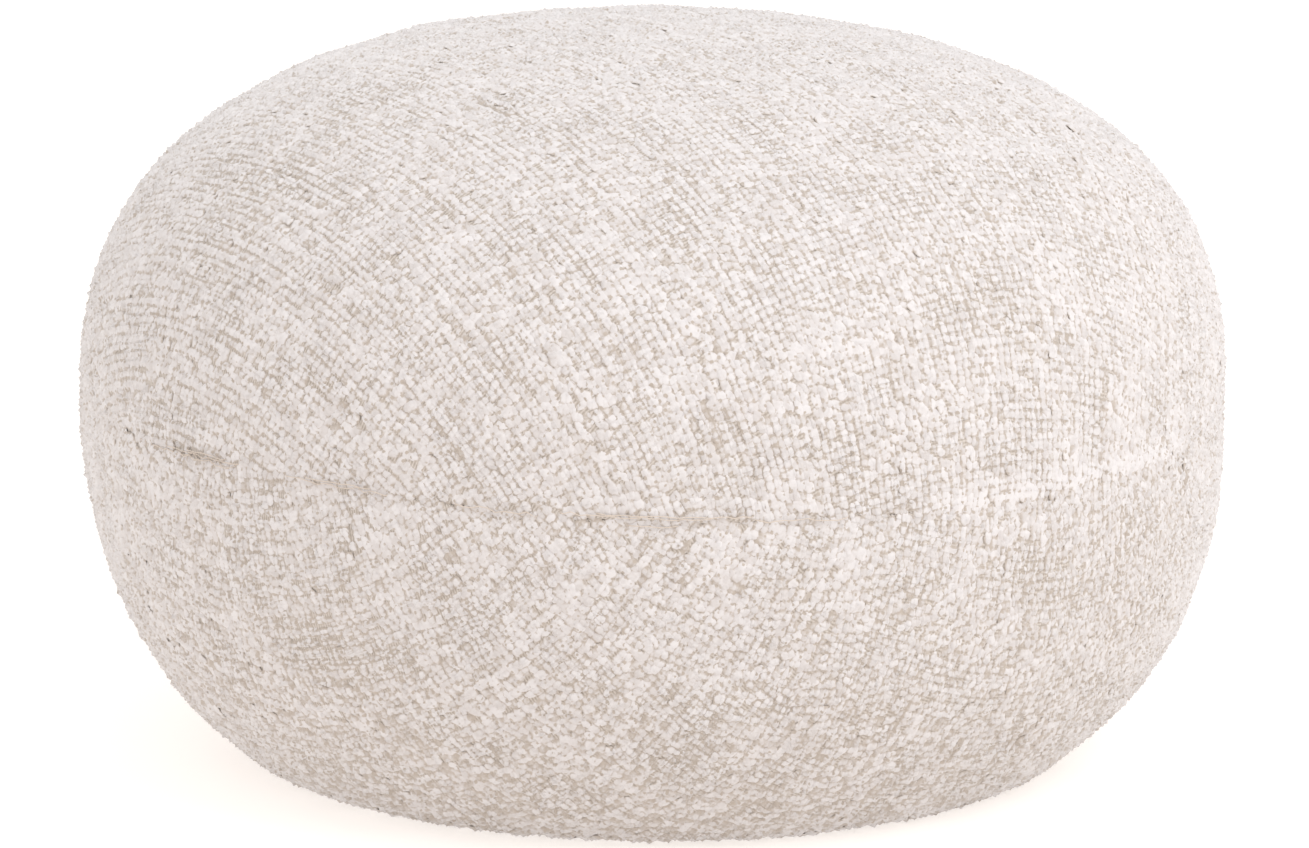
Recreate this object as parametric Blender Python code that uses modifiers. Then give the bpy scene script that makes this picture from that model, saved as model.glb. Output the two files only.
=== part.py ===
# A round floor pouf. Two panels of looped cloth are cut, filled, and sewn together round the middle.
# Metres, +Z up. The origin is the centre of the flat foot, on the floor, and the front faces -Y.

import math

import bpy

# The driving dimensions
WIDTH = 0.550            # across the widest level
HEIGHT = 0.350           # from the floor to the top of the crown
WIDEST_LEVEL = 0.1716    # height of the widest level above the floor
CROWN_FULLNESS = 2.58    # 2 would be an ellipse, and more is boxier
BELLY_DROP = 0.2149      # how far the belly would hang below the widest level if no floor held it up
BELLY_FULLNESS = 2.51
FOOT_ROUND = 0.018       # radius of the roll where the belly meets the floor
FOOT_START = 0.006       # height at which the belly's curve gives way to that roll
SEAM_LIP = 0.0022        # radius of the folded edge on each side of the seam
SEAM_TUCK = 0.0026       # how far the sewing draws the seam in
SEAM_SLOPE = 0.0066      # height over which the cloth runs in to the folded edge
SEAM_RISE = 0.0018       # mean height of the seam above the widest level
PANEL_GAP = 0.0003       # clearance between the two filled panels

# How finely the forms are stepped
TURN_STEPS = 80
CROWN_STEPS = 20
BELLY_STEPS = 18         # of the belly's curve, down to the floor
HANGING_STEPS = 24       # of the same curve, if it hung free
ROUND_STEPS = 3
INNER_STEPS = 3
MERGE_REACH = 0.00001    # points closer than this are one
CREASE_ANGLE = 50.0      # degrees, and edges that bend more stay sharp

# The seam wanders up and down as it goes round. A turn is counted from the front towards +X.
SEAM_WAVES = (
    # waves round, height, turn of a crest in degrees
    (1, 0.0036, -90.0),
    (2, 0.0014, -82.0),
    (4, 0.0016, -36.0),
)

# The filling pushes the cloth out and lets it sink in soft swells.
SWELLS = (
    # waves round, half waves from foot to top, height, turn of a crest in degrees
    (0, 3, -0.0008, 0.0),
    (1, 3, -0.0009, -90.0),
    (2, 1, 0.0004, 80.0),
    (3, 2, 0.0009, -60.0),
    (5, 2, 0.0007, 48.0),
    (7, 3, 0.0004, 80.0),
)
SWELL_FADE = 0.045       # height over which the swells die out above the floor

# The cloth
CREAM = (0.80, 0.72, 0.66, 1.0)
CLOTH_ROUGHNESS = 0.95

RADIUS = WIDTH / 2
CROWN_RISE = HEIGHT - WIDEST_LEVEL
SEAM_RADIUS = RADIUS - SEAM_TUCK


def clear_scene():
    for old in list(bpy.data.objects):
        bpy.data.objects.remove(old, do_unlink=True)


def make_collection(name):
    collection = bpy.data.collections.new(name)
    bpy.context.scene.collection.children.link(collection)
    return collection


def cloth_material(name):
    material = bpy.data.materials.new(name)
    material.use_nodes = True
    shader = material.node_tree.nodes["Principled BSDF"]
    shader.inputs["Base Color"].default_value = CREAM
    shader.inputs["Roughness"].default_value = CLOTH_ROUGHNESS
    shader.inputs["Metallic"].default_value = 0.0
    return material


def smooth_step(low, high, value):
    share = min(max((value - low) / (high - low), 0.0), 1.0)
    return share * share * (3.0 - 2.0 * share)


def full_curve(angle, rise, fullness):
    """A point of the full, boxy ellipse: angle 0 is the widest level, and a right angle is the axis."""
    power = 2.0 / fullness
    out = RADIUS * max(math.cos(angle), 0.0) ** power
    up = rise * math.sin(angle) ** power
    return out, up


def round_corner(before, corner, after, radius):
    """The points of an arc that rounds a corner of the profile."""
    into = math.atan2(corner[1] - before[1], corner[0] - before[0])
    away = math.atan2(after[1] - corner[1], after[0] - corner[0])
    bend = (away - into + math.pi) % (2.0 * math.pi) - math.pi
    reach = radius * math.tan(abs(bend) / 2.0)
    start = (corner[0] - reach * math.cos(into), corner[1] - reach * math.sin(into))
    side = math.copysign(1.0, bend)
    centre = (start[0] - side * radius * math.sin(into), start[1] + side * radius * math.cos(into))
    points = []
    for step in range(ROUND_STEPS + 1):
        heading = into + bend * step / ROUND_STEPS
        out = centre[0] + side * radius * math.sin(heading)
        up = centre[1] - side * radius * math.cos(heading)
        points.append((out, up))
    return points


def inward_points(out, level):
    """Points of a flat face, from a ring near its rim to the axis."""
    shares = [1.0 - (step + 1) / (INNER_STEPS + 1) for step in range(INNER_STEPS + 1)]
    return [(out * share, level) for share in shares]


def upper_profile():
    """Half the upper panel's section, from the top of the crown down to the seam and in to the axis."""
    seam = WIDEST_LEVEL + PANEL_GAP / 2
    curve = [(0.0, HEIGHT)]
    for step in range(1, CROWN_STEPS):
        out, up = full_curve(math.pi / 2 * (1 - step / CROWN_STEPS), CROWN_RISE, CROWN_FULLNESS)
        curve.append((out, WIDEST_LEVEL + up))
    draw_in = (RADIUS, seam + SEAM_SLOPE)
    lip = round_corner(draw_in, (SEAM_RADIUS + SEAM_LIP, seam), (0.0, seam), SEAM_LIP)
    return curve + lip + inward_points(SEAM_RADIUS, seam)


def lower_profile():
    """Half the lower panel's section, from the axis out to the seam, down the belly and in over the foot."""
    seam = WIDEST_LEVEL - PANEL_GAP / 2
    draw_in = (RADIUS, seam - SEAM_SLOPE)
    lip = round_corner((0.0, seam), (SEAM_RADIUS + SEAM_LIP, seam), draw_in, SEAM_LIP)
    curve = []
    for step in range(1, BELLY_STEPS + 1):
        out, down = full_curve(math.pi / 2 * step / HANGING_STEPS, BELLY_DROP, BELLY_FULLNESS)
        curve.append((out, WIDEST_LEVEL - down))
    on_floor = (1.0 - (WIDEST_LEVEL / BELLY_DROP) ** BELLY_FULLNESS) ** (1.0 / BELLY_FULLNESS) * RADIUS
    last = [point for point in curve if point[1] > FOOT_START]
    foot = round_corner(last[-1], (on_floor, 0.0), (0.0, 0.0), FOOT_ROUND)
    inner = list(reversed(inward_points(SEAM_RADIUS, seam)))
    return inner + lip + last + foot + inward_points(foot[-1][0], 0.0)


def seam_sway(turn):
    """How far the seam stands above the widest level at a turn."""
    sway = SEAM_RISE
    for waves, height, crest in SEAM_WAVES:
        sway += height * math.cos(waves * (turn - math.radians(crest)))
    return sway


def swell(turn, level):
    """How far the filling pushes the cloth out at a turn and a height above the floor."""
    push = 0.0
    for waves, half_waves, height, crest in SWELLS:
        round_share = math.cos(waves * (turn - math.radians(crest)))
        push += height * round_share * math.sin(math.pi * half_waves * level / HEIGHT)
    return push * smooth_step(0.0, SWELL_FADE, level)


def settle(mesh):
    """Move a turned panel's points to the uneven form of a filled one. Both panels share these rules."""
    for vertex in mesh.vertices:
        x, y, z = vertex.co
        out = math.hypot(x, y)
        if out < PANEL_GAP:
            continue
        turn = math.atan2(x, -y)
        share = out / RADIUS
        reach = CROWN_RISE if z > WIDEST_LEVEL else WIDEST_LEVEL
        near_seam = 1.0 - smooth_step(0.0, 1.0, abs(z - WIDEST_LEVEL) / reach)
        push = swell(turn, z) * share ** 2 / max(math.hypot(out, z - WIDEST_LEVEL), PANEL_GAP)
        vertex.co.x = x * (1.0 + push)
        vertex.co.y = y * (1.0 + push)
        vertex.co.z = z + (z - WIDEST_LEVEL) * push + seam_sway(turn) * share ** 2 * near_seam


def filled_panel(name, profile, collection):
    """Turn a profile into one closed panel with its filling, and settle it."""
    line = bpy.data.meshes.new(name + "_profile")
    points = [(out, 0.0, up) for out, up in profile]
    edges = [(index, index + 1) for index in range(len(points) - 1)]
    line.from_pydata(points, edges, [])
    turned = bpy.data.objects.new(name + "_turned", line)
    collection.objects.link(turned)
    screw = turned.modifiers.new("Turn", "SCREW")
    screw.axis = "Z"
    screw.angle = 2.0 * math.pi
    screw.steps = TURN_STEPS
    screw.render_steps = TURN_STEPS
    screw.use_merge_vertices = True
    screw.merge_threshold = MERGE_REACH

    bpy.context.view_layer.update()
    evaluated = turned.evaluated_get(bpy.context.evaluated_depsgraph_get())
    mesh = bpy.data.meshes.new_from_object(evaluated)
    bpy.data.objects.remove(turned, do_unlink=True)
    mesh.name = name
    settle(mesh)
    mesh.shade_smooth()
    mesh.set_sharp_from_angle(angle=math.radians(CREASE_ANGLE))
    mesh.materials.clear()
    mesh.materials.append(cloth_material(name + "_cloth"))
    panel = bpy.data.objects.new(name, mesh)
    collection.objects.link(panel)
    return panel


def build():
    clear_scene()
    collection = make_collection("pouf")
    filled_panel("upper_panel", upper_profile(), collection)
    filled_panel("lower_panel", lower_profile(), collection)


build()
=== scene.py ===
import math

import bmesh
import bpy
import numpy as np
from mathutils import Matrix, Vector
from mathutils.bvhtree import BVHTree


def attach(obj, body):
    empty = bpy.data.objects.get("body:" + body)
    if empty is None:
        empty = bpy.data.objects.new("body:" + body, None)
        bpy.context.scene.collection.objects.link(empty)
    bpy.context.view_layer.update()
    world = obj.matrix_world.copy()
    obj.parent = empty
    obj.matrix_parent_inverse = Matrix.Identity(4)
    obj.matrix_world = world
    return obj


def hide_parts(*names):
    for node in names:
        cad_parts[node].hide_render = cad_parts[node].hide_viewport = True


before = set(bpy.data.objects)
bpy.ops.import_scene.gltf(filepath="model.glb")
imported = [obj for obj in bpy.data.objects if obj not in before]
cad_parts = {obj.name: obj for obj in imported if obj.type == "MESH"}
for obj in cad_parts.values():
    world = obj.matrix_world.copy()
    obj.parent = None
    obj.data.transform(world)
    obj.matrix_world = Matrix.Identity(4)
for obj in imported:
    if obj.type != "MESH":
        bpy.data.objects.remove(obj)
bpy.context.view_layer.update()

# A round pouf of nubby looped cloth: an upper and a lower panel, sewn together round the middle.
# A turn is counted round the pouf from the front (-Y) towards +X, in radians.
fullTurn = 2.0 * math.pi
print("stage: frame loaded")


# A shader value that can be added and multiplied like a number
class Signal:
    def __init__(self, maker, socket):
        self.maker = maker
        self.socket = socket

    def maths(self, operation, *values):
        return self.maker.node("ShaderNodeMath", {"operation": operation}, dict(enumerate(values)))

    def __add__(self, other):
        return self.maths("ADD", self, other)

    def __sub__(self, other):
        return self.maths("SUBTRACT", self, other)

    def __rsub__(self, other):
        return self.maths("SUBTRACT", other, self)

    def __mul__(self, other):
        return self.maths("MULTIPLY", self, other)

    __radd__ = __add__
    __rmul__ = __mul__

    def sine(self):
        return self.maths("SINE", self)

    def between(self, low, high):
        sockets = {"Value": self, "From Min": low, "From Max": high}
        return self.maker.node("ShaderNodeMapRange", {"interpolation_type": "SMOOTHSTEP"}, sockets)


# Makes every node of one material
class Maker:
    def __init__(self, name):
        self.material = bpy.data.materials.new(name)
        self.material.use_nodes = True
        self.tree = self.material.node_tree
        self.tree.nodes.clear()

    # settings are set first, then the sockets take their values or links
    def node(self, kind, settings, sockets, output=0):
        made = self.tree.nodes.new(kind)
        for name, value in settings.items():
            setattr(made, name, value)
        for name, value in sockets.items():
            if isinstance(value, Signal):
                self.tree.links.new(value.socket, made.inputs[name])
            else:
                made.inputs[name].default_value = value
        return Signal(self, made.outputs[output] if made.outputs else None)

    def mixed(self, share, low, high):
        return self.node("ShaderNodeMix", {"data_type": "RGBA"}, {0: share, 6: low, 7: high}, 2)

    def noise(self, place, scale, detail=2.0):
        sockets = {"Vector": place, "Scale": scale, "Detail": detail}
        return self.node("ShaderNodeTexNoise", {}, sockets)

    def bump(self, height, distance, strength=1.0):
        sockets = {"Height": height, "Distance": distance, "Strength": strength}
        return self.node("ShaderNodeBump", {}, sockets)

    def attribute(self, name):
        return self.node("ShaderNodeAttribute", {"attribute_name": name}, {}, 2)

    def parts(self, vector):
        split = self.node("ShaderNodeSeparateXYZ", {}, {"Vector": vector}).socket.node
        return [Signal(self, output) for output in split.outputs]

    def objectPlace(self):
        return self.node("ShaderNodeTexCoord", {}, {}, 3)

    def finish(self, colour, finish, **other):
        shader = self.node("ShaderNodeBsdfPrincipled", {}, {"Base Color": colour, **finish, **other})
        self.node("ShaderNodeOutputMaterial", {}, {"Surface": shader})
        return self.material


# The filled form: both solids' outside, which the cloth is laid on
form = {
    "turns": 160,            # steps round
    "rings": 60,             # steps from the seam to the crown or the foot
    "lipHeights": (0.0, 0.0004, 0.0010, 0.0020, 0.0036),   # rings where the cloth rolls into the seam
    "lipRadius": 0.0005,
    "valleyDepth": 0.0003,   # how far the sewing draws the cloth in beside the seam
    "valleyReach": 0.010,
    "seamGap": 0.0003,
    "clearShare": 0.018,     # the first free ring, as a share of the way from the seam
    "pile": 0.0011,          # how deep the woven ground lies under the tips of the nubs
    "footPile": 0.0005,
    "seamSteps": 80,
    "softness": 0.0004,      # small dents in the cloth
    "softScale": 0.055,
    "softSeed": 5,
    "footRamp": 4.0,         # how sharply the cloth turns from wall to foot
    "inner": (0.7, 0.35, 0.0),    # rings of the hidden face at the seam, as shares of its radius
    "mergeReach": 0.00001,
    "weldReach": 0.00002,    # points of the solids closer than this are one
    "rimShare": 0.95,        # points of a solid further out than this share of the widest may be at the seam
    "mapRadius": 0.48,       # of the flat cloth's disc in its map
    "mapCorner": (0.01, 0.01),    # where the hidden face goes
}


def outsideOf(nodes):
    shell = bmesh.new()
    for node in nodes:
        shell.from_mesh(node.data)
    bmesh.ops.remove_doubles(shell, verts=shell.verts, dist=form["weldReach"])
    tree = BVHTree.FromBMesh(shell)
    shell.free()
    return tree


def turnOf(places):
    return np.arctan2(places[:, 0], -places[:, 1])


# The seam's height at evenly spaced turns, read from the rim of the upper solid
def readSeam(node):
    place = np.array([point.co for point in node.data.vertices])
    out = np.hypot(place[:, 0], place[:, 1])
    rim = place[out > form["rimShare"] * out.max()]
    steps = form["seamSteps"]
    slot = np.rint(turnOf(rim) / fullTurn * steps).astype(int) % steps
    heights = [rim[slot == step, 2].min() for step in range(steps)]
    return np.array(heights) - form["seamGap"] / 2


formTree = outsideOf(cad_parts.values())
seamHeights = readSeam(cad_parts["upper_panel"])
formCentre = Vector((0.0, 0.0, float(seamHeights.mean())))
turnSteps = np.arange(form["turns"]) * fullTurn / form["turns"]


def seamHeight(turn):
    known = np.arange(form["seamSteps"]) * fullTurn / form["seamSteps"]
    return np.interp(turn, known, seamHeights, period=fullTurn)


def fromSeam(places):
    return np.abs(places[:, 2] - seamHeight(turnOf(places)))


# Where a line of sight from outside, aimed at the form's centre, meets a form
def sightPoint(tree, aim):
    return tree.ray_cast(formCentre + aim, -aim)[0]


# The filling swells the sewn cover: a slightly smaller form under pressure, held at the seam and the foot
filling = {
    "halvings": 6,           # of the edges of the ball it starts from
    "crownShrink": 0.9925,   # how low the crown starts
    "wallShrink": 1.0012,    # how far out the walls start, since the pressure draws them in a little
    "pressure": 4.0,
    "frames": 20,
    "cap": 0.006,            # how far a point may move
    "seamReach": 0.011,      # how near the seam a point is held
    "footReach": 0.012,
}


def swollenForm():
    ball = bmesh.new()
    bmesh.ops.create_icosphere(ball, subdivisions=filling["halvings"], radius=1.0)
    for point in ball.verts:
        reach = sightPoint(formTree, point.co.copy()) - formCentre
        rise = filling["crownShrink"] if reach.z > 0.0 else 1.0
        wall = filling["wallShrink"]
        point.co = formCentre + Vector((reach.x * wall, reach.y * wall, reach.z * rise))
    mesh = bpy.data.meshes.new("filling")
    ball.to_mesh(mesh)
    ball.free()
    piece = bpy.data.objects.new("filling", mesh)
    scene = bpy.context.scene
    scene.collection.objects.link(piece)
    start = np.array([point.co for point in mesh.vertices])
    fixed = (fromSeam(start) < filling["seamReach"]) | (start[:, 2] < filling["footReach"])
    held = [int(index) for index in np.flatnonzero(fixed)]
    piece.vertex_groups.new(name="fixed").add(held, 1.0, "REPLACE")
    cloth = piece.modifiers.new("cloth", "CLOTH")
    cloth.settings.use_pressure = True
    cloth.settings.uniform_pressure_force = filling["pressure"]
    cloth.settings.effector_weights.gravity = 0.0
    cloth.settings.vertex_group_mass = "fixed"
    cloth.point_cache.frame_start = 1
    cloth.point_cache.frame_end = filling["frames"]
    for step in range(1, filling["frames"] + 1):
        scene.frame_set(step)
    swollen = piece.evaluated_get(bpy.context.evaluated_depsgraph_get()).data
    move = np.array([point.co for point in swollen.vertices]) - start
    reach = np.linalg.norm(move, axis=1, keepdims=True)
    print("stage: filling swells", round(float(reach.mean()), 5), round(float(reach.max()), 5))
    move *= np.minimum(1.0, filling["cap"] / np.maximum(reach, 1e-9))
    bpy.data.objects.remove(piece)
    scene.frame_set(1)
    faces = [list(face.vertices) for face in mesh.polygons]
    return BVHTree.FromPolygons([Vector(place) for place in np.round(start + move, 5)], faces)


laidTree = swollenForm()


def outsidePoint(turn, rise):
    flat = math.cos(rise)
    return sightPoint(laidTree, Vector((math.sin(turn) * flat, -math.cos(turn) * flat, math.sin(rise))))


# A smooth, repeatable unevenness of about 1 unit, over places in metres
def softNoise(places, scale, seed, waves=14):
    rng = np.random.default_rng(seed)
    places = np.atleast_2d(places)
    total = np.zeros(len(places))
    for wave in range(waves):
        heading = rng.normal(size=places.shape[1])
        heading *= rng.uniform(0.6, 1.4) * fullTurn / scale / np.linalg.norm(heading)
        total += np.cos(places @ heading + rng.uniform(0.0, fullTurn))
    return total / math.sqrt(waves / 2)


def normalsOf(grid, side):
    around = np.roll(grid, -1, axis=1) - np.roll(grid, 1, axis=1)
    along = np.gradient(grid, axis=0)
    normals = np.cross(around, along) * side
    normals[-1] = (0.0, 0.0, side)
    return normals / np.linalg.norm(normals, axis=2, keepdims=True)


# One panel's cloth as a grid of points: the first ring is at the seam and the last at the pole
def layCloth(side):
    lips = form["lipHeights"]
    shares = np.linspace(form["clearShare"], 1.0, form["rings"] - len(lips))
    seam = seamHeight(turnSteps)
    grid = np.zeros((form["rings"], form["turns"], 3))
    for column, turn in enumerate(turnSteps):
        wall = outsidePoint(turn, 0.0)
        start = math.atan2(seam[column] - formCentre.z, math.hypot(wall.x, wall.y))
        for row, share in enumerate(shares):
            rise = start + (side * math.pi / 2 - start) * share
            grid[len(lips) + row, column] = outsidePoint(turn, rise)
    normals = normalsOf(grid[len(lips):], side)
    ramp = form["footRamp"]
    level = np.clip(1.0 - ramp * (1.0 + normals[..., 2:]), 0.0, 1.0)     # 1 under the foot, 0 on the wall
    grid[len(lips):] -= normals * (form["pile"] + (form["footPile"] - form["pile"]) * level)
    flat = grid[len(lips):].reshape(-1, 3)
    dents = softNoise(flat, form["softScale"], form["softSeed"]).reshape(normals.shape[:2] + (1,))
    grid[len(lips):] += normals * dents * form["softness"] * (1.0 - level)
    wall = np.hypot(grid[len(lips), :, 0], grid[len(lips), :, 1])
    for row, height in enumerate(lips):
        roll = max(form["lipRadius"] - height, 0.0)
        drawIn = form["lipRadius"] - math.sqrt(form["lipRadius"] ** 2 - roll ** 2)
        out = wall - drawIn - form["valleyDepth"] * math.exp(-height / form["valleyReach"])
        grid[row, :, 0] = out * np.sin(turnSteps)
        grid[row, :, 1] = -out * np.cos(turnSteps)
        grid[row, :, 2] = seam + side * (form["seamGap"] / 2 + height)
    return grid


# The radius in the flat, uncut cloth of each ring: a disc with the same area inside it
def flatRadii(grid):
    rise = grid[1:] - grid[:-1]
    around = np.roll(grid, -1, axis=1) - grid
    areas = np.linalg.norm(np.cross((around[1:] + around[:-1]) / 2, rise), axis=2).sum(axis=1)
    inside = np.concatenate([np.cumsum(areas[::-1])[::-1], [0.0]])
    return np.sqrt(inside / math.pi)


# A grid's values at places given by ring and turn
def onGrid(values, ring, turn):
    low = np.clip(np.floor(ring).astype(int), 0, len(values) - 2)
    up = (ring - low)[:, None]
    column = turn / fullTurn * form["turns"]
    left = np.floor(column).astype(int)
    over = (column - left)[:, None]
    left %= form["turns"]
    right = (left + 1) % form["turns"]
    lower = values[low, left] * (1.0 - over) + values[low, right] * over
    upper = values[low + 1, left] * (1.0 - over) + values[low + 1, right] * over
    return lower * (1.0 - up) + upper * up


def makePanel(side):
    grid = layCloth(side)
    return {"side": side, "grid": grid, "normals": normalsOf(grid, side), "radii": flatRadii(grid)}


# Ring and turn of places in the flat cloth
def fromFlat(panel, places):
    radius = np.hypot(places[:, 0], places[:, 1])
    ring = np.interp(radius, panel["radii"][::-1], np.arange(form["rings"])[::-1])
    return ring, turnOf(places) % fullTurn


# A grid's values at places in the flat cloth
def onCloth(panel, places, values):
    ring, turn = fromFlat(panel, places)
    return onGrid(values, ring, turn)


upperPanel = makePanel(1)
lowerPanel = makePanel(-1)
print("stage: cloth laid on the form", round(upperPanel["radii"][0], 4), round(lowerPanel["radii"][0], 4))


clothWeave = {
    "deep": (0.36, 0.31, 0.265, 1.0),       # between the threads: the ground's taupe darkened by painted shade
    "thread": (0.56, 0.505, 0.46, 1.0),
    "threadPitch": 0.0016,
    "weftShare": 0.7,        # of the weft's threads to the warp's
    "wander": 3.0,           # how far the threads stray
    "wanderScale": 160.0,
    "fibreScale": 2600.0,
    "patchScale": 22.0,
    "shares": {"warp": 0.3, "weft": 0.125, "fibre": 0.3, "patches": 0.5},
    "mean": 0.175,
    "reach": (0.1, 1.0),     # from the painted shade between the threads to the thread's colour
    "bump": 0.0004,
    "finish": {"Roughness": 0.95, "Sheen Weight": 0.2, "Sheen Roughness": 0.6, "Specular IOR Level": 0.15},
}


# The woven ground between the nubs, drawn along the grain in the piece's own map
def groundMaterial(name, radius, grain):
    make = Maker(name)
    flatMap = make.node("ShaderNodeUVMap", {"uv_map": "OFBake"}, {})
    turned = make.node("ShaderNodeMapping", {"vector_type": "POINT"}, {
        "Vector": flatMap, "Rotation": (0.0, 0.0, -grain), "Scale": (2.0 * radius, 2.0 * radius, 1.0)})
    alongPlace, acrossPlace = make.parts(turned)[:2]
    place = make.objectPlace()
    wander = make.noise(place, clothWeave["wanderScale"]) * clothWeave["wander"]
    rate = fullTurn / clothWeave["threadPitch"]
    shares = clothWeave["shares"]
    weave = (acrossPlace * rate + wander).sine() * shares["warp"]
    weave += (alongPlace * (rate * clothWeave["weftShare"]) + wander).sine() * shares["weft"]
    weave += make.noise(place, clothWeave["fibreScale"], 1.0) * shares["fibre"]
    weave += make.noise(place, clothWeave["patchScale"]) * shares["patches"] + clothWeave["mean"]
    colour = make.mixed(weave.between(*clothWeave["reach"]), clothWeave["deep"], clothWeave["thread"])
    return make.finish(colour, clothWeave["finish"], Normal=make.bump(weave, clothWeave["bump"]))


# The grain is the turn that the rows run towards. Clumps and ribs are how unevenly the nubs hide the ground and
# the painted shade between them.
upperCloth = {"name": "upperCloth", "node": "upper_panel", "slot": "upper_cloth", "fill": 0.9,
              "grain": 0.6, "clumps": 0.2, "ribs": 0.3, "seed": 21}
lowerCloth = {"name": "lowerCloth", "node": "lower_panel", "slot": "lower_cloth", "fill": 0.9,
              "grain": 0.78, "clumps": 0.32, "ribs": 0.14, "seed": 43}


# A closed panel: a meridian is spun round, then every point takes its place on the laid cloth
def clothPiece(cloth, panel):
    side, grid = panel["side"], panel["grid"]
    last = form["rings"] - 1
    shell = bmesh.new()
    rises = [math.pi / 2 * (1.0 - ring / last) for ring in range(form["rings"])]
    line = [shell.verts.new((math.cos(rise), 0.0, side * math.sin(rise))) for rise in rises]
    line += [shell.verts.new((share, 0.0, 0.0)) for share in form["inner"]]
    edges = [shell.edges.new(pair) for pair in zip(line, line[1:])]
    bmesh.ops.spin(shell, geom=line + edges, cent=(0.0, 0.0, 0.0), axis=(0.0, 0.0, 1.0),
                   angle=fullTurn, steps=form["turns"], use_merge=True, use_duplicate=False)
    bmesh.ops.remove_doubles(shell, verts=shell.verts, dist=form["mergeReach"])
    axis = Vector((0.0, 0.0, formCentre.z + side * form["seamGap"] / 2))
    flatPlace = {}
    for point in shell.verts:
        x, y, z = point.co
        column = round(math.atan2(x, -y) / fullTurn * form["turns"]) % form["turns"]
        ring = round(math.asin(min(abs(z), 1.0)) / (math.pi / 2) * last)
        if ring == 0 and math.hypot(x, y) <= form["inner"][0] + form["mergeReach"]:
            point.co = axis.lerp(Vector(grid[0, column]), math.hypot(x, y))
        else:
            point.co = grid[ring, column]
            radius = panel["radii"][ring] / panel["radii"][0] * form["mapRadius"]
            turn = turnSteps[column]
            flatPlace[point] = (0.5 + radius * math.sin(turn), 0.5 - radius * math.cos(turn))
    flatMap = shell.loops.layers.uv.new("OFBake")
    for face in shell.faces:
        face.smooth = True
        shown = all(point in flatPlace for point in face.verts)
        for corner in face.loops:
            corner[flatMap].uv = flatPlace[corner.vert] if shown else form["mapCorner"]
    bmesh.ops.recalc_face_normals(shell, faces=shell.faces)
    mesh = bpy.data.meshes.new(cloth["name"])
    shell.to_mesh(mesh)
    shell.free()
    mapWidth = panel["radii"][0] / form["mapRadius"] / 2.0
    mesh.materials.append(groundMaterial(cloth["name"] + "Ground", mapWidth, cloth["grain"]))
    piece = bpy.data.objects.new(cloth["name"], mesh)
    bpy.context.scene.collection.objects.link(piece)
    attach(piece, "root")
    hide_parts(cloth["node"])


clothPiece(upperCloth, upperPanel)
clothPiece(lowerCloth, lowerPanel)
print("stage: cloth panels made")


nubYarn = {
    "along": 0.0044,         # from knot to knot in a row
    "across": 0.0044,        # from row to row
    "apart": 0.14,           # how far a knot's two strands lie from its middle, as shares of those steps
    "shift": 0.12,
    "length": 1.52,          # a strand's own size, as shares of the same steps
    "width": 1.26,
    "height": 0.0017,        # from its underside to its top
    "seat": -0.0003,         # its underside from the woven ground
    "sizeSpread": 0.15,
    "crumple": 0.14,         # how uneven its outline is
    "raise": 0.00014,        # how unevenly the knots stand up
    "strandRaise": 0.5,      # and the strands, as a share of that
    "uprightRing": 6,        # nubs nearer the seam than this ring don't lean into it
    "twist": 0.2,            # spread of a knot's heading, in radians
    "jitter": 0.07,
    "strandJitter": 0.08,
    "drift": 0.0007,         # how far the rows wander
    "driftScale": 0.06,
    "stretch": 0.8,          # how far a nub's size follows the stretch of the cloth
    "stretchLimits": (0.6, 1.6),
    "nudge": 0.0008,         # how far apart the stretch is measured
    "smallest": (0.0010, 0.0009, 0.0005),      # of a nub: half its length, half its width, its height
    "meanTone": 0.55,
    "footFacing": -0.95,     # cloth that faces down more than this lies on the floor
    "footMissing": 0.25,     # there the nubs are pressed flat: fewer and wider
    "footWiden": 1.25,
    "footShadeKept": 0.35,        # how much of the lower panel's painted shade they keep
    "floorClear": 0.0002,    # how near the floor a point may come
    "floorSpread": 0.5,      # and how much further up a nub's top stays, as a share of that
    "knotTone": 0.16,        # how unlike the knots, then the strands, are in colour
    "strandTone": 0.08,
    "tip": (0.655, 0.625, 0.622, 1.0),
    "shade": (0.575, 0.537, 0.524, 1.0),
    # painted shade low on each nub, between it and its neighbours, as dark as the woven ground
    "root": (0.445, 0.385, 0.335, 1.0),
    "rootReach": (-0.1, 0.42),    # how far up a nub the shade between the nubs goes
    "fleckScale": 75.0,
    "fleck": 0.9,
    "fibreScale": 420.0,
    "fibreFleck": 1.7,
    "fibreSink": 0.9,        # how unevenly the shade between the nubs ends
    "fibreBump": 0.00022,
    "linePitch": 0.0038,     # the fine threads that bind the nubs down
    "lineEdge": (0.55, 1.0),
    "lineWander": 7.0,
    "lineWanderScale": 45.0,
    "linePatchScale": 38.0,  # the threads show in patches
    "linePatch": (0.3, 0.75),
    "lineDepth": 0.55,
    "lineSink": 0.3,
    "dotEdge": (0.1, 0.9),   # where two of those threads cross
    "dotPatchScale": 150.0,
    "dotPatch": (0.35, 0.6),
    # the crossings sink into the painted shade between the nubs, as small dark holes
    "dotSink": 0.85,
    "tautPitch": 0.0026,     # finer threads, pulled straight where the cloth is worn
    "tautEdge": (-0.3, 0.9),
    "tautWander": 0.4,
    "tautDepth": 0.6,
    "tautSink": 0.7,
    "finish": {"Roughness": 0.95, "Sheen Weight": 0.4, "Sheen Roughness": 0.5, "Specular IOR Level": 0.1},
}


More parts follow.
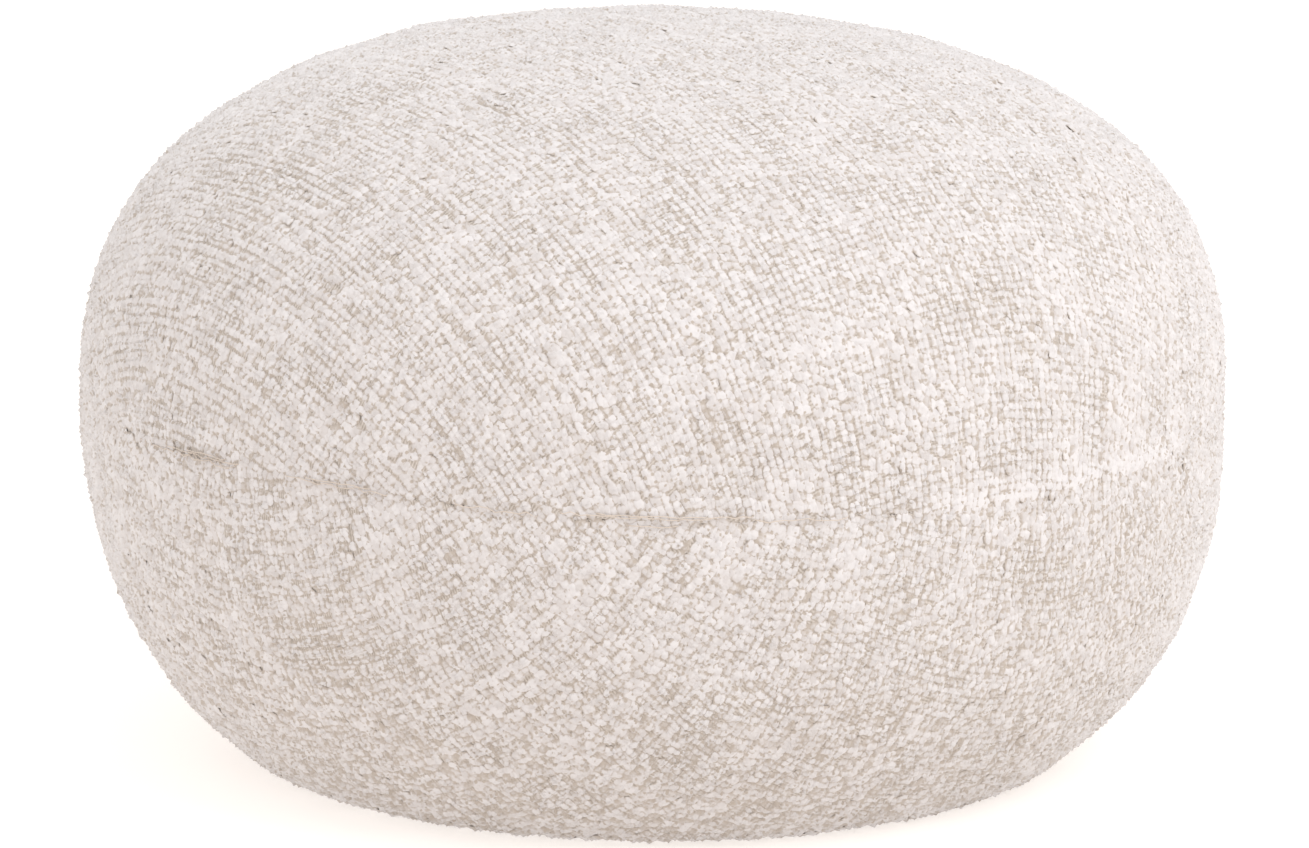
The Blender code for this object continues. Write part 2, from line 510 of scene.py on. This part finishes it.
def nubMaterial():
    make = Maker("nubYarn")
    place = make.objectPlace()
    fleck = make.noise(place, nubYarn["fleckScale"], 5.0)
    fibres = make.noise(place, nubYarn["fibreScale"], 3.0)
    wander = make.noise(place, nubYarn["lineWanderScale"]) * nubYarn["lineWander"]
    along, across = make.attribute("along"), make.attribute("across")
    rate = fullTurn / nubYarn["linePitch"]
    warp = (across * rate + wander).sine()
    weft = (along * rate + wander).sine()
    lines = warp.between(*nubYarn["lineEdge"]) + weft.between(*nubYarn["lineEdge"])
    lines *= make.noise(place, nubYarn["linePatchScale"]).between(*nubYarn["linePatch"])
    dots = warp.between(*nubYarn["dotEdge"]) * weft.between(*nubYarn["dotEdge"])
    dots *= make.noise(place, nubYarn["dotPatchScale"]).between(*nubYarn["dotPatch"])
    taut = (across * (fullTurn / nubYarn["tautPitch"]) + wander * nubYarn["tautWander"]).sine()
    taut = taut.between(*nubYarn["tautEdge"]) * make.attribute("worn") * nubYarn["tautDepth"]
    shade = make.attribute("tone") + (fleck - 0.5) * nubYarn["fleck"] + (fibres - 0.5) * nubYarn["fibreFleck"]
    shade -= lines * nubYarn["lineDepth"] + taut
    body = make.mixed(shade.between(0.0, 1.0), nubYarn["shade"], nubYarn["tip"])
    # depth picks where the painted shade between the nubs shows: low on each nub, in the binding threads'
    # grooves and where they cross
    depth = make.attribute("lift") + (fibres - 0.5) * nubYarn["fibreSink"]
    depth -= lines * nubYarn["lineSink"] + taut * nubYarn["tautSink"] + dots * nubYarn["dotSink"]
    colour = make.mixed(depth.between(*nubYarn["rootReach"]), nubYarn["root"], body)
    return make.finish(colour, nubYarn["finish"], Normal=make.bump(fibres - lines, nubYarn["fibreBump"]))


# Where each side of a small shape lies in its cell of the map: the middle, and half the width
shapeMap = {"top": (0.5, 0.44), "underside": (0.06, 0.05), "margin": 0.03}


# A small closed shape as arrays, with a map of its top and, beside it, of its flat underside
def shapeArrays(shape):
    flatMap = shape.loops.layers.uv.new("OFBake")
    bmesh.ops.recalc_face_normals(shape, faces=shape.faces)
    shape.verts.index_update()
    for face in shape.faces:
        middle, size = shapeMap["top" if face.normal.z > -0.5 else "underside"]
        for corner in face.loops:
            corner[flatMap].uv = (middle + size * corner.vert.co.x, middle + size * corner.vert.co.y)
    arrays = {
        "points": np.array([point.co for point in shape.verts]),
        "corners": np.array([corner.vert.index for face in shape.faces for corner in face.loops]),
        "maps": np.array([corner[flatMap].uv for face in shape.faces for corner in face.loops]),
        "sides": np.array([len(face.verts) for face in shape.faces]),
    }
    shape.free()
    return arrays


# A low dome of six sides, which lies on the cloth
def nubShape():
    dome = bmesh.new()
    bmesh.ops.create_uvsphere(dome, u_segments=6, v_segments=2, radius=1.0)
    foot = min(dome.verts, key=lambda point: point.co.z)
    bmesh.ops.dissolve_verts(dome, verts=[foot])
    return shapeArrays(dome)


# Many copies of one shape in one mesh: each has its own cell of the map
def joinedMesh(name, shape, places, values):
    count, points = len(places), len(shape["points"])
    corners = (shape["corners"][None] + (np.arange(count) * points)[:, None]).ravel()
    starts = np.concatenate([[0], np.cumsum(np.tile(shape["sides"], count))[:-1]])
    side = math.ceil(math.sqrt(count))
    cell = np.stack([np.arange(count) % side, np.arange(count) // side], axis=1)
    margin = shapeMap["margin"]
    maps = (cell[:, None, :] + margin + (1.0 - 2.0 * margin) * shape["maps"][None]) / side
    mesh = bpy.data.meshes.new(name)
    mesh.vertices.add(count * points)
    mesh.vertices.foreach_set("co", places.astype(np.float32).ravel())
    mesh.loops.add(len(corners))
    mesh.loops.foreach_set("vertex_index", corners.astype(np.int32))
    mesh.polygons.add(len(starts))
    mesh.polygons.foreach_set("loop_start", starts.astype(np.int32))
    mesh.update(calc_edges=True)
    mesh.uv_layers.new(name="OFBake").uv.foreach_set("vector", maps.astype(np.float32).ravel())
    for key, value in values.items():
        mesh.attributes.new(key, "FLOAT", "POINT").data.foreach_set("value", value.astype(np.float32).ravel())
    mesh.shade_smooth()
    ends = np.zeros(2 * len(mesh.edges), dtype=np.int32)
    mesh.edges.foreach_get("vertices", ends)
    # the edges of the underside stay sharp
    rims = (shape["points"][ends % points, 2] < 0.5).reshape(-1, 2).all(axis=1)
    mesh.attributes.new("sharp_edge", "BOOLEAN", "EDGE").data.foreach_set("value", rims)
    return mesh


def addPiece(mesh, material):
    mesh.materials.append(material)
    piece = bpy.data.objects.new(mesh.name, mesh)
    bpy.context.scene.collection.objects.link(piece)
    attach(piece, "root")


nubDome = nubShape()


# Where the cloth isn't even: the nubs swell along part of the seam, and are worn thin in soft patches
unevenness = {
    "ridgeFrom": 0.42, "ridgeTo": 1.15, "ridgeReach": 0.0065, "ridgeSwell": 0.35, "ridgeTone": 0.7,
    "ridgeRaise": 0.0006, "ridgeEnds": 12.0,      # how sharply the ridge starts and ends
    "seamReach": 0.0018,     # so close to the seam, some nubs are caught in the sewing
    "seamMissing": 0.05,
    "seamShadeTone": 0.3,         # painted shade: how much darker the nubs are in the seam's groove
    "thinAcross": 0.14,      # how much narrower, then shorter, the nubs are in a worn patch
    "thinAlong": 0.07,
    "open": (                # no nubs here
        # side of the seam, turn, distance from the seam, half its width in radians, half its height
        (1, -0.84, 0.0010, 0.085, 0.0009),
        (1, 2.72, 0.0006, 0.060, 0.0018),
    ),
    "footShadeFrom": 0.06, "footShadeReach": 0.10, "footShadeTone": 0.12,     # painted shade: the lower panel darkens towards the foot
    "rootShadeRise": 0.45, "rootShadeSpread": 0.25,        # and there the painted shade between its nubs comes further up them
    # the nubs bunch in small clumps, and every second row stands a little higher
    "clumpScale": 0.009, "clumpWaves": 40, "clumpTone": 0.12, "clumpRaise": 0.00006,
    "wornClumps": 0.8,       # how much of the clumps a worn patch loses
    "ribRaise": 0.0001, "ribFade": 0.4, "ribScale": 0.05,
    "rootShadeLimits": (-0.4, 0.8),    # of the share by which the painted shade comes further up a nub
    "patches": (
        # side of the seam, turn, distance from the seam, half its width in radians, half its height, strength
        (-1, 0.90, 0.045, 0.34, 0.045, 0.7),
        (-1, -0.57, 0.075, 0.13, 0.028, 0.9),
        (-1, 0.35, 0.090, 0.16, 0.025, 0.5),
        (1, -0.95, 0.110, 0.12, 0.030, 0.6),
        (1, 0.60, 0.100, 0.14, 0.025, 0.5),
        (-1, 2.30, 0.060, 0.30, 0.035, 0.9),
        (1, 2.75, 0.080, 0.25, 0.030, 0.6),
        (-1, -2.20, 0.070, 0.25, 0.035, 0.8),
    ),
}


def wornShare(side, turn, distance):
    share = np.zeros(len(turn))
    for patchSide, middle, away, wide, high, strength in unevenness["patches"]:
        if patchSide == side:
            off = (turn - middle + math.pi) % fullTurn - math.pi
            share += strength * np.exp(-(off / wide) ** 2 - ((distance - away) / high) ** 2)
    return np.clip(share, 0.0, 1.0)


def isOpen(side, turn, distance):
    inside = np.zeros(len(turn), dtype=bool)
    for openSide, middle, away, wide, high in unevenness["open"]:
        if openSide == side:
            off = (turn - middle + math.pi) % fullTurn - math.pi
            inside |= (off / wide) ** 2 + ((distance - away) / high) ** 2 < 1.0
    return inside


def ridgeShare(side, turn, distance):
    off = (turn + math.pi) % fullTurn - math.pi
    inside = np.clip((off - unevenness["ridgeFrom"]) * unevenness["ridgeEnds"], 0.0, 1.0)
    inside *= np.clip((unevenness["ridgeTo"] - off) * unevenness["ridgeEnds"], 0.0, 1.0)
    return inside * np.exp(-(distance / unevenness["ridgeReach"]) ** 2) * (side > 0)


# Where the nubs of one panel stand in the flat cloth: two strands to a knot, knots in staggered rows
def nubRows(panel, heading, cross, rng, seed):
    along, across = nubYarn["along"], nubYarn["across"]
    reach = panel["radii"][0]
    steps, rows = int(reach / along) + 3, int(reach / across) + 3
    step, row = np.meshgrid(np.arange(-steps, steps + 1), np.arange(-rows, rows + 1))
    step, row = step.ravel(), row.ravel()
    knots = len(step)
    mood = np.repeat(rng.normal(size=(knots, 3)), 2, axis=0)      # what a knot's two strands share
    half = np.tile((-1.0, 1.0), knots)
    spin = nubYarn["twist"] * mood[:, 2]
    stray = rng.normal(0.0, nubYarn["strandJitter"], (2 * knots, 2))
    stray += nubYarn["jitter"] * np.repeat(rng.normal(size=(knots, 2)), 2, axis=0)
    ahead = half * nubYarn["shift"] + stray[:, 0]
    aside = half * nubYarn["apart"]
    down = (np.repeat(step + 0.5 * (row % 2), 2) + ahead * np.cos(spin) - aside * np.sin(spin)) * along
    over = (np.repeat(row, 2) + aside * np.cos(spin) + ahead * np.sin(spin) + stray[:, 1]) * across
    flat = down[:, None] * heading + over[:, None] * cross
    drift = [softNoise(flat, nubYarn["driftScale"], seed + 1), softNoise(flat, nubYarn["driftScale"], seed + 2)]
    flat += nubYarn["drift"] * np.stack(drift, axis=1)
    keep = np.hypot(flat[:, 0], flat[:, 1]) < reach
    return flat[keep], mood[keep], spin[keep]


# How the laid cloth runs from places in the flat cloth in one direction, and how far it is stretched there
def stretchAlong(panel, flat, direction):
    nudge = nubYarn["nudge"]
    before = onCloth(panel, flat - nudge * direction, panel["grid"])
    run = (onCloth(panel, flat + nudge * direction, panel["grid"]) - before) / (2 * nudge)
    low, high = nubYarn["stretchLimits"]
    return run, np.clip(np.linalg.norm(run, axis=1), low, high) ** nubYarn["stretch"]


# How uneven the cloth is at each nub
def unevenShares(panel, cloth, flat, across, turn, distance, onFoot):
    worn = wornShare(panel["side"], turn, distance)
    ridge = ridgeShare(panel["side"], turn, distance)
    # painted shade that darkens the lower panel towards the foot
    footShade = np.clip((distance - unevenness["footShadeFrom"]) / unevenness["footShadeReach"], 0.0, 1.0)
    footShade *= panel["side"] < 0
    footShade[onFoot] *= nubYarn["footShadeKept"]
    clump = softNoise(flat, unevenness["clumpScale"], cloth["seed"] + 3, unevenness["clumpWaves"])
    clump *= 1.0 - unevenness["wornClumps"] * worn
    # painted shade along the seam's groove
    seamShade = np.exp(-(distance / unevenness["seamReach"]) ** 2) * (1.0 - ridge)
    rib = np.cos(math.pi * across / nubYarn["across"])
    rib *= 1.0 + unevenness["ribFade"] * softNoise(flat, unevenness["ribScale"], cloth["seed"] + 4)
    return worn, ridge, footShade, clump, seamShade, rib


# The nubs of one panel on the laid cloth, with their headings, sizes and tones
def plantNubs(panel, cloth):
    rng = np.random.default_rng(cloth["seed"])
    heading = np.array([math.sin(cloth["grain"]), -math.cos(cloth["grain"])])
    cross = np.array([math.cos(cloth["grain"]), math.sin(cloth["grain"])])
    flat, mood, spin = nubRows(panel, heading, cross, rng, cloth["seed"])
    centre = onCloth(panel, flat, panel["grid"])
    distance = fromSeam(centre)
    onFoot = onCloth(panel, flat, panel["normals"])[:, 2] < nubYarn["footFacing"]
    left = onFoot & (rng.random(len(flat)) < nubYarn["footMissing"])
    left |= isOpen(panel["side"], turnOf(centre), distance)
    left |= (distance < unevenness["seamReach"]) & (rng.random(len(flat)) < unevenness["seamMissing"])
    kept = [values[~left] for values in (flat, mood, spin, centre, distance, onFoot)]
    flat, mood, spin, centre, distance, onFoot = kept
    count = len(flat)

    ring, turn = fromFlat(panel, flat)
    normal = onGrid(panel["normals"], np.maximum(ring, nubYarn["uprightRing"]), turn)
    normal /= np.linalg.norm(normal, axis=1, keepdims=True)
    ahead, longer = stretchAlong(panel, flat, heading)
    wider = stretchAlong(panel, flat, cross)[1]
    ahead -= normal * (ahead * normal).sum(axis=1, keepdims=True)
    ahead /= np.linalg.norm(ahead, axis=1, keepdims=True)
    side = np.cross(normal, ahead)
    forward = ahead * np.cos(spin)[:, None] + side * np.sin(spin)[:, None]

    along, across = flat @ heading, flat @ cross
    worn, ridge, footShade, clump, seamShade, rib = unevenShares(panel, cloth, flat, across, turn, distance, onFoot)
    spread = nubYarn["sizeSpread"] * rng.normal(size=(count, 3)) + 1.0
    swell = (1.0 + (nubYarn["footWiden"] - 1.0) * onFoot) * (1.0 + unevenness["ridgeSwell"] * ridge)
    length = nubYarn["along"] / 2 * nubYarn["length"] * longer * spread[:, 0] * swell
    width = nubYarn["across"] / 2 * nubYarn["width"] * wider * spread[:, 1] * swell
    length *= 1.0 - unevenness["thinAlong"] * worn
    width *= 1.0 - unevenness["thinAcross"] * worn
    size = np.stack([length, width, nubYarn["height"] * spread[:, 2]], axis=1)

    raised = nubYarn["raise"] * (mood[:, 0] + nubYarn["strandRaise"] * rng.normal(size=count))
    raised += unevenness["ridgeRaise"] * ridge + unevenness["clumpRaise"] * clump + unevenness["ribRaise"] * rib
    tone = nubYarn["meanTone"] + nubYarn["knotTone"] * mood[:, 1]
    tone += nubYarn["strandTone"] * rng.normal(size=count)
    tone += unevenness["ridgeTone"] * ridge + unevenness["clumpTone"] * clump
    # painted shade: darker in the seam's groove and towards the foot
    tone -= unevenness["seamShadeTone"] * seamShade + unevenness["footShadeTone"] * footShade
    # how far the shade between the nubs comes up them
    rootShadeRise = footShade * (unevenness["rootShadeRise"] - unevenness["rootShadeSpread"] * mood[:, 1])
    rootShadeRise -= cloth["clumps"] * clump + cloth["ribs"] * rib
    return {
        "flat": flat, "along": along, "across": across, "spin": spin,
        "centre": centre + normal * raised[:, None], "normal": normal,
        "forward": forward, "sideways": np.cross(normal, forward),
        "size": np.maximum(size, nubYarn["smallest"]), "worn": worn, "tone": np.clip(tone, 0.0, 1.0),
        "shown": 1.0 - np.clip(rootShadeRise, *unevenness["rootShadeLimits"]),
        "crumple": rng.normal(0.0, nubYarn["crumple"], (count, len(nubDome["points"]), 3)),
    }


def nubMesh(name, nubs, chosen):
    points = nubDome["points"]
    local = (points[None] + nubs["crumple"][chosen]) * nubs["size"][chosen][:, None, :]
    local[..., 2] += nubYarn["seat"]
    axes = np.stack([nubs[key][chosen] for key in ("forward", "sideways", "normal")], axis=1)
    places = nubs["centre"][chosen][:, None, :] + local @ axes
    floorLevel = nubYarn["floorClear"] * (1.0 + nubYarn["floorSpread"] * points[:, 2])
    places[..., 2] = np.maximum(places[..., 2], floorLevel)
    cosine, sine = np.cos(nubs["spin"][chosen])[:, None], np.sin(nubs["spin"][chosen])[:, None]
    return joinedMesh(name, nubDome, places, {
        "tone": np.repeat(nubs["tone"][chosen], len(points)),
        "worn": np.repeat(nubs["worn"][chosen], len(points)),
        "lift": nubs["shown"][chosen][:, None] * np.clip(points[:, 2], 0.0, 1.0),
        "along": nubs["along"][chosen][:, None] + local[..., 0] * cosine - local[..., 1] * sine,
        "across": nubs["across"][chosen][:, None] + local[..., 0] * sine + local[..., 1] * cosine,
    })


def nubPieces(nubs, names, material):
    order = np.argsort(np.hypot(nubs["flat"][:, 0], nubs["flat"][:, 1]))
    for name, chosen in zip(names, np.array_split(order, len(names))):
        addPiece(nubMesh(name, nubs, chosen), material)
        print("stage:", name, len(chosen), "nubs")


nubCloth = nubMaterial()
upperNubs = plantNubs(upperPanel, upperCloth)
nubPieces(upperNubs, ("nubsCrown", "nubsShoulder", "nubsUpperSide"), nubCloth)
lowerNubs = plantNubs(lowerPanel, lowerCloth)
nubPieces(lowerNubs, ("nubsFoot", "nubsBelly", "nubsLowerSide"), nubCloth)


# Loose fibres that stand off the nubs and soften the outline
fuzz = {
    "upperCount": 9000,
    "lowerCount": 9000,
    "length": 0.0024,
    "lengthSpread": 0.35,
    "radius": 0.00007,
    "lean": 1.05,            # mean angle from upright, in radians
    "leanSpread": 0.3,
    "lengthLimits": (0.4, 2.0),
    "rootLift": 0.6,         # where a fibre starts, as a share of its nub's height
    "rootSpread": 0.6,       # and of its half length and width
    "tone": 0.8,
    "toneSpread": 0.15,
    "tipReach": 0.001,       # points of its tip closer than this are one
    "upperSeed": 61,
    "lowerSeed": 62,
}


# A thin spike of three sides, which stands on the cloth
def hairShape():
    spike = bmesh.new()
    bmesh.ops.create_cone(spike, cap_ends=True, segments=3, radius1=1.0, radius2=0.0, depth=1.0,
                          matrix=Matrix.Translation((0.0, 0.0, 0.5)))
    bmesh.ops.remove_doubles(spike, verts=spike.verts, dist=fuzz["tipReach"])
    return shapeArrays(spike)


def fuzzMaterial():
    make = Maker("looseFibre")
    colour = make.mixed(make.attribute("tone"), nubYarn["shade"], nubYarn["tip"])
    return make.finish(colour, nubYarn["finish"])


def fuzzPiece(name, nubs, count, seed):
    rng = np.random.default_rng(seed)
    chosen = rng.integers(0, len(nubs["centre"]), count)
    normal, forward, sideways = [nubs[key][chosen] for key in ("normal", "forward", "sideways")]
    size = nubs["size"][chosen]
    turn = rng.uniform(0.0, fullTurn, count)
    out = forward * np.cos(turn)[:, None] + sideways * np.sin(turn)[:, None]
    lean = rng.normal(fuzz["lean"], fuzz["leanSpread"], count)[:, None]
    upward = normal * np.cos(lean) + out * np.sin(lean)
    beside = np.cross(normal, out)
    reach = rng.uniform(-fuzz["rootSpread"], fuzz["rootSpread"], (count, 2)) * size[:, :2]
    root = nubs["centre"][chosen] + forward * reach[:, :1] + sideways * reach[:, 1:]
    root += normal * size[:, 2:] * fuzz["rootLift"]
    length = fuzz["length"] * np.clip(rng.normal(1.0, fuzz["lengthSpread"], count), *fuzz["lengthLimits"])
    hair = hairShape()
    thick = np.full(count, fuzz["radius"])
    local = hair["points"][None] * np.stack([thick, thick, length], axis=1)[:, None, :]
    places = root[:, None, :] + local @ np.stack([beside, np.cross(upward, beside), upward], axis=1)
    places[..., 2] = np.maximum(places[..., 2], nubYarn["floorClear"])
    tone = np.clip(rng.normal(fuzz["tone"], fuzz["toneSpread"], count), 0.0, 1.0)
    mesh = joinedMesh(name, hair, places, {"tone": np.repeat(tone, len(hair["points"]))})
    addPiece(mesh, fuzzCloth)


fuzzCloth = fuzzMaterial()
fuzzPiece("fuzzUpper", upperNubs, fuzz["upperCount"], fuzz["upperSeed"])
fuzzPiece("fuzzLower", lowerNubs, fuzz["lowerCount"], fuzz["lowerSeed"])
print("stage: loose fibres planted")


# Fine threads that the sewing pulled straight, beside the seam
seamThreads = {
    "radius": 0.00022,
    "step": 0.012,           # radians from point to point
    "wander": 0.0003,
    "rings": 20,             # of the laid cloth, from the seam, that a thread may lie on
    "standOff": 0.0019,      # above the woven ground
    "colour": (0.58, 0.50, 0.43, 1.0),
    "seed": 77,
    "runs": (
        # turn where a thread starts, turn where it ends, height above the seam
        (-0.16, 0.10, 0.0021), (-0.10, 0.17, 0.0031), (-0.05, 0.05, -0.0016),
        (-0.66, -0.44, 0.0010), (-0.62, -0.47, 0.0021), (-0.34, -0.18, 0.0009), (0.16, 0.33, 0.0012),
        (-1.06, -0.76, 0.0003), (-0.96, -0.75, 0.0013), (-0.90, -0.78, 0.0024), (-0.92, -0.77, -0.0010),
        (1.52, 1.70, 0.0020), (1.55, 1.66, 0.0031), (2.60, 2.81, 0.0014), (2.62, 2.78, 0.0026),
        (-2.42, -2.20, 0.0019), (-2.38, -2.26, 0.0030), (-1.75, -1.66, -0.0020),
    ),
}


# The place and outward direction of the cloth at a turn, and at a height above or below the seam
def besideSeam(turn, above):
    panel = upperPanel if above > 0.0 else lowerPanel
    around = turn % fullTurn
    column = round(around / fullTurn * form["turns"]) % form["turns"]
    rings = np.arange(seamThreads["rings"])
    heights = np.abs(panel["grid"][rings, column, 2] - seamHeight(turn))
    ring = np.array([np.interp(abs(above), heights, rings)])
    return [onGrid(panel[key], ring, np.array([around]))[0] for key in ("grid", "normals")]


def threadPiece():
    rng = np.random.default_rng(seamThreads["seed"])
    curve = bpy.data.curves.new("seamThreads", "CURVE")
    curve.dimensions = "3D"
    curve.bevel_depth = seamThreads["radius"]
    curve.bevel_resolution = 1
    curve.use_fill_caps = True
    for start, end, above in seamThreads["runs"]:
        count = max(int((end - start) / seamThreads["step"]), 3)
        spline = curve.splines.new("POLY")
        spline.points.add(count - 1)
        for index, turn in enumerate(np.linspace(start, end, count)):
            place, normal = besideSeam(turn, above + rng.normal(0.0, seamThreads["wander"]))
            inside = 0 < index < count - 1
            lift = seamThreads["standOff"] if inside else -seamThreads["standOff"]     # its ends are sewn in
            spline.points[index].co = (*(place + normal * lift), 1.0)
    drawn = bpy.data.objects.new("seamThreadsDrawn", curve)
    bpy.context.scene.collection.objects.link(drawn)
    bpy.context.view_layer.update()
    mesh = bpy.data.meshes.new_from_object(drawn.evaluated_get(bpy.context.evaluated_depsgraph_get()))
    bpy.data.objects.remove(drawn)
    mesh.name = "seamThreads"
    mesh.materials.clear()
    material = Maker("seamThread").finish(seamThreads["colour"], nubYarn["finish"])
    addPiece(mesh, material)


threadPiece()
print("stage: seam threads drawn")


# A plain pale floor
floor = {
    "size": 14.0,
    "colour": (0.50, 0.475, 0.45, 1.0),
    # the floor glows a little, painted light that keeps it white and lightens the shadow under the pouf
    "finish": {"Roughness": 0.9, "Emission Color": (1.0, 0.96, 0.93, 1.0), "Emission Strength": 0.64},
}


def makeFloor():
    ground = bmesh.new()
    bmesh.ops.create_grid(ground, x_segments=1, y_segments=1, size=floor["size"] / 2)
    mesh = bpy.data.meshes.new("floor")
    ground.to_mesh(mesh)
    ground.free()
    mesh.materials.append(Maker("floorPaint").finish(floor["colour"], floor["finish"]))
    piece = bpy.data.objects.new("floor", mesh)
    bpy.context.scene.collection.objects.link(piece)


# Soft studio light: a wide key from the upper right and front, and a pale room
studio = {
    "keyPlace": (1.9, -1.65, 2.5), "keySize": 2.2, "keyPower": 52.0, "keyColour": (0.95, 0.975, 1.0),
    "fillPlace": (-2.8, -1.5, 0.5), "fillSize": 2.5, "fillPower": 10.5, "fillColour": (1.0, 0.97, 0.94),
    "room": (1.0, 0.985, 0.975, 1.0), "roomStrength": 1.13,
}


def makeLight(name, place, size, power, colour):
    lamp = bpy.data.lights.new(name, "AREA")
    lamp.shape = "DISK"
    lamp.size = size
    lamp.energy = power
    lamp.color = colour
    piece = bpy.data.objects.new(name, lamp)
    piece.location = place
    aim = formCentre - Vector(place)
    piece.rotation_euler = aim.to_track_quat("-Z", "Y").to_euler()
    bpy.context.scene.collection.objects.link(piece)


def makeStudio():
    makeLight("key", studio["keyPlace"], studio["keySize"], studio["keyPower"], studio["keyColour"])
    makeLight("fill", studio["fillPlace"], studio["fillSize"], studio["fillPower"], studio["fillColour"])
    world = bpy.data.worlds.new("room")
    world.use_nodes = True
    world.node_tree.nodes["Background"].inputs["Color"].default_value = studio["room"]
    world.node_tree.nodes["Background"].inputs["Strength"].default_value = studio["roomStrength"]
    bpy.context.scene.world = world
    bpy.context.scene.view_settings.view_transform = "Standard"


# The photograph's view: nearly level, from well back, and a little tilted
view = {"rise": 12.14, "distance": 3.3, "dip": 0.2785, "roll": 0.481, "aimHeight": 0.1716,
        "lens": 187.43, "sensor": 36.0}


def makeCamera():
    data = bpy.data.cameras.new("camera")
    data.lens = view["lens"]
    data.sensor_width = view["sensor"]
    camera = bpy.data.objects.new("camera", data)
    rise = math.radians(view["rise"])
    back = Vector((0.0, -math.cos(rise), math.sin(rise)))
    camera.location = Vector((0.0, 0.0, view["aimHeight"])) + back * view["distance"]
    tilt = Matrix.Rotation(math.radians(90.0 - view["rise"] - view["dip"]), 4, "X")
    roll = Matrix.Rotation(math.radians(view["roll"]), 4, "Z")
    camera.rotation_euler = (tilt @ roll).to_euler()
    bpy.context.scene.collection.objects.link(camera)
    bpy.context.scene.camera = camera


makeFloor()
makeStudio()
makeCamera()
print("stage: floor, light and camera made")
